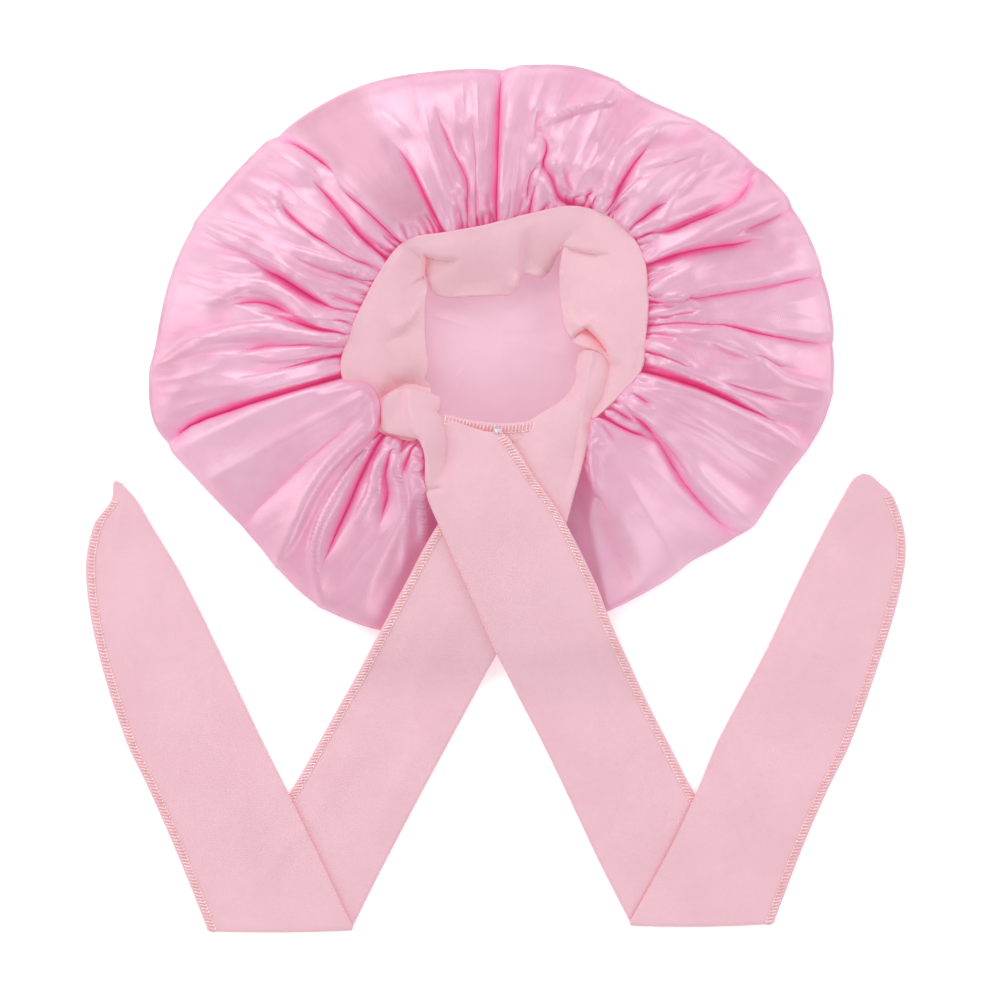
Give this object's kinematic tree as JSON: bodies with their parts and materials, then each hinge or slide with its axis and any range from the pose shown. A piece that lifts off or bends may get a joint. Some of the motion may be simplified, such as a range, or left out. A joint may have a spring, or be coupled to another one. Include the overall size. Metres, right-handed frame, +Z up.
{
  "type": "sleep bonnet",
  "caption": "Round satin sleep bonnet lying open side up, with a gathered crown, a soft jersey band and two long tapered ties folded below it.",
  "frame": {"origin": "on the table, under the middle of the bonnet's bounding box", "axes": "+Z up out of the opening, +Y from the folds of the ties to the far side of the crown"},
  "size_m": [0.4424, 0.4684, 0.0382],
  "materials": {
    "satin": "glossy pink satin outside, matt reverse inside",
    "jersey": "matt brushed pink jersey"
  },
  "bodies": {
    "root": {"crown": "satin", "band": "jersey", "tie_over": "jersey", "tie_under": "jersey"}
  },
  "joints": []
}
